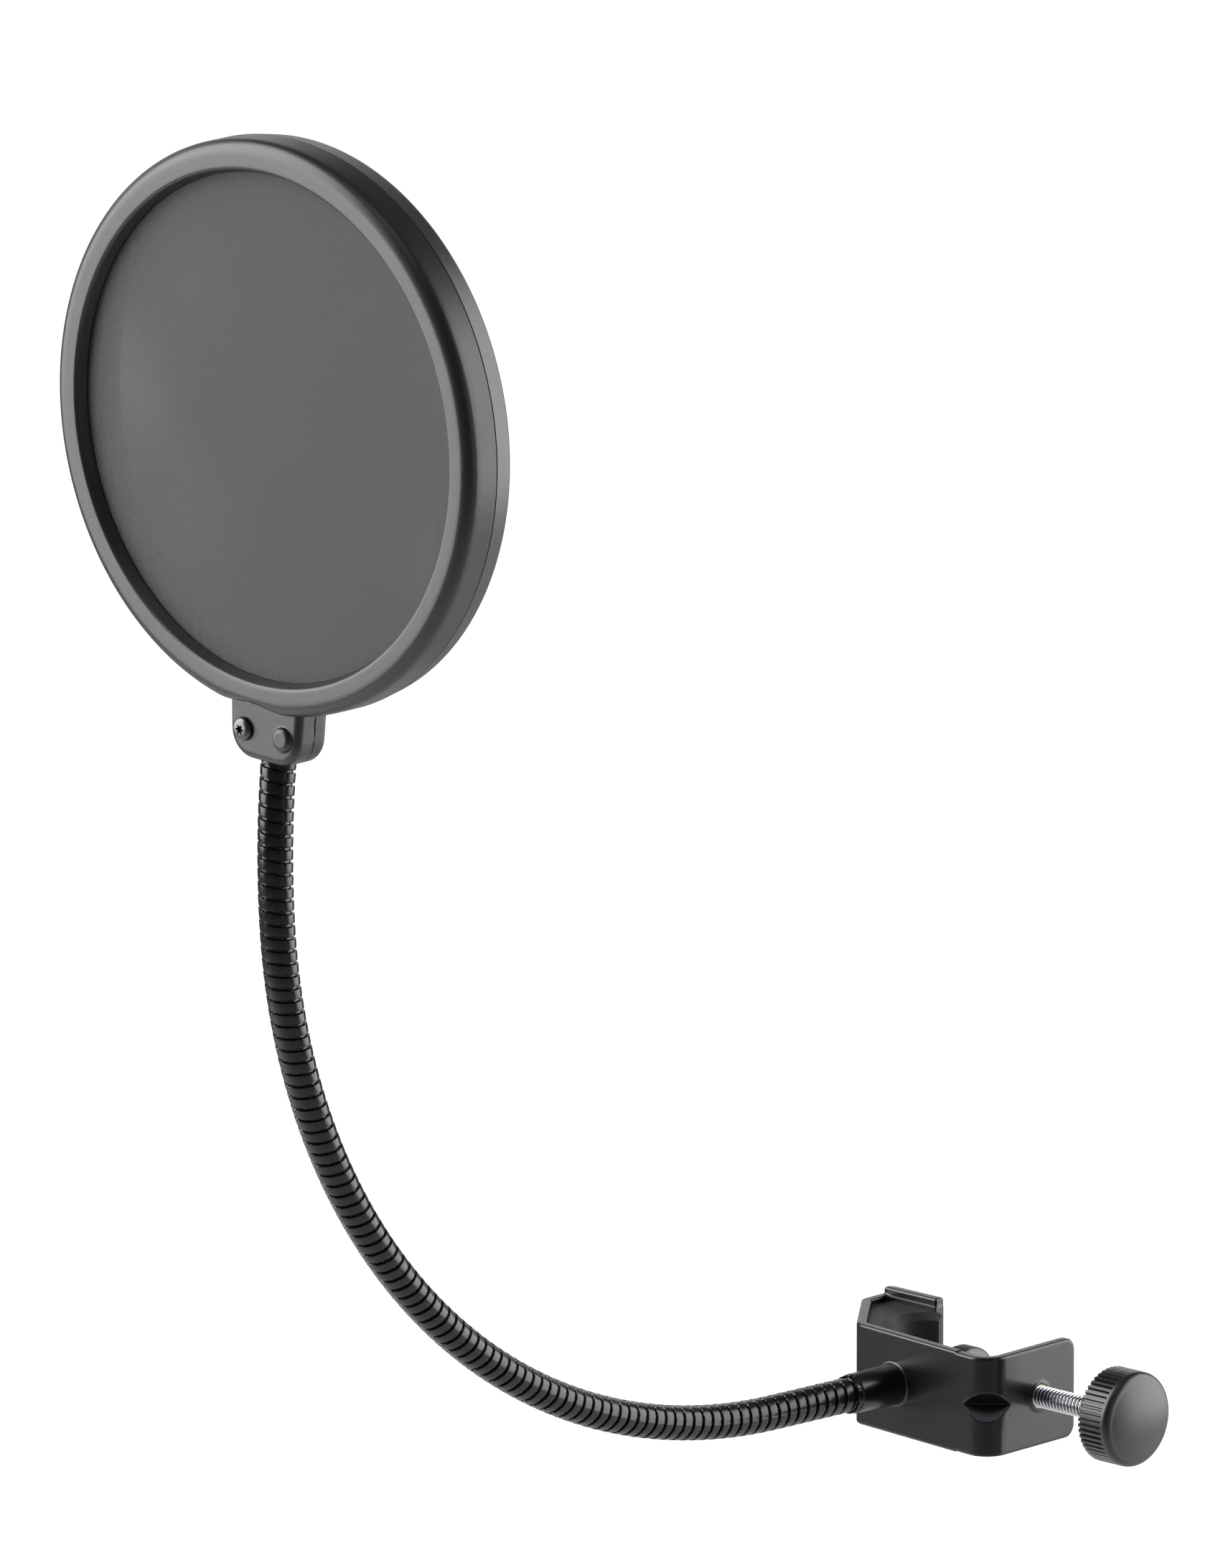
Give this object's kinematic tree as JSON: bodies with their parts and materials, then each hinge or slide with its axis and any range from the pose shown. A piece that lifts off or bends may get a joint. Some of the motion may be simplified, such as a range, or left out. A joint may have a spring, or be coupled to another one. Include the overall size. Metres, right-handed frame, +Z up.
{
  "type": "pop filter on a flexible arm",
  "caption": "Round double-mesh pop filter on a flexible gooseneck arm, with a hook-shaped tube clamp closed by a ribbed thumbscrew.",
  "frame": {"origin": "on the axis of the clamped stand tube, level with the thumbscrew, at mid-height of the clamp body", "axes": "+Z up the stand tube; +X out along the thumbscrew towards the knob; -Y towards the side that the filter faces"},
  "size_m": [0.1736, 0.2739, 0.4104],
  "materials": {
    "clamp_plastic": "fine satin grain",
    "pad_plastic": "matt",
    "brass": "plain",
    "zinc_steel": "bright zinc",
    "rubber": "matt",
    "cap_grey": "matt",
    "arm_finish": "gloss black",
    "spring_steel": "plain",
    "mesh_nylon": "woven nylon",
    "screw_black": "black oxide"
  },
  "bodies": {
    "clamp": {"clamp_body": "clamp_plastic", "tube_pad": "pad_plastic", "thread_insert": "brass", "arm_anchor": "brass", "coil_root": "arm_finish", "core_root": "spring_steel"},
    "carriage": {"pressure_cap": "clamp_plastic", "cap_facing": "rubber"},
    "screw": {"thumb_screw": "zinc_steel", "knob": "clamp_plastic"},
    "link_1": {"coil_1": "arm_finish", "core_1": "spring_steel"},
    "link_2": {"coil_2": "arm_finish", "core_2": "spring_steel"},
    "link_3": {"coil_3": "arm_finish", "core_3": "spring_steel"},
    "link_4": {"coil_4": "arm_finish", "core_4": "spring_steel"},
    "link_5": {"coil_5": "arm_finish", "core_5": "spring_steel"},
    "link_6": {"coil_6": "arm_finish", "core_6": "spring_steel"},
    "head": {"coil_7": "arm_finish", "core_7": "spring_steel", "head_ferrule": "brass", "front_shell": "clamp_plastic", "rear_shell": "clamp_plastic", "front_mesh": "mesh_nylon", "rear_mesh": "mesh_nylon", "mesh_spacer": "clamp_plastic", "front_screw": "screw_black", "rear_screw": "screw_black"}
  },
  "joints": [
    {"name": "arm_lift_1", "type": "hinge", "parent": "clamp", "child": "link_1", "pos_m": [0.0004, -0.06462, 0], "axis": [-0.9964, 0.0849, 0], "range_deg": [-25, 25]},
    {"name": "arm_swing_2", "type": "hinge", "parent": "link_1", "child": "link_2", "pos_m": [-0.00347, -0.10997, 0.00572], "axis": [0.021, 0.2465, 0.9689], "range_deg": [-25, 25]},
    {"name": "arm_lift_3", "type": "hinge", "parent": "link_2", "child": "link_3", "pos_m": [-0.00709, -0.15251, 0.02252], "axis": [-0.9964, 0.0849, 0], "range_deg": [-25, 25]},
    {"name": "arm_swing_4", "type": "hinge", "parent": "link_3", "child": "link_4", "pos_m": [-0.01025, -0.18959, 0.04937], "axis": [0.0579, 0.6792, 0.7317], "range_deg": [-25, 25]},
    {"name": "arm_lift_5", "type": "hinge", "parent": "link_4", "child": "link_5", "pos_m": [-0.01275, -0.21889, 0.08458], "axis": [-0.9964, 0.0849, 0], "range_deg": [-25, 25]},
    {"name": "arm_swing_6", "type": "hinge", "parent": "link_5", "child": "link_6", "pos_m": [-0.01443, -0.2386, 0.12598], "axis": [0.0806, 0.9456, 0.3153], "range_deg": [-25, 25]},
    {"name": "arm_lift_7", "type": "hinge", "parent": "link_6", "child": "head", "pos_m": [-0.01519, -0.24749, 0.17098], "axis": [-0.9964, 0.0849, 0], "range_deg": [-25, 25]},
    {"name": "screw_feed", "type": "slide", "parent": "clamp", "child": "carriage", "axis": [1, 0, 0], "range_m": [-0.004, 0.0125]},
    {"name": "screw_turn", "type": "hinge", "parent": "carriage", "child": "screw", "pos_m": [0.05, 0, 0], "axis": [1, 0, 0], "range_deg": [-1155, 3602]}
  ],
  "couplings": [
    {"joint": "screw_turn", "follows": "screw_feed", "rad_per_m": 5026.5}
  ]
}
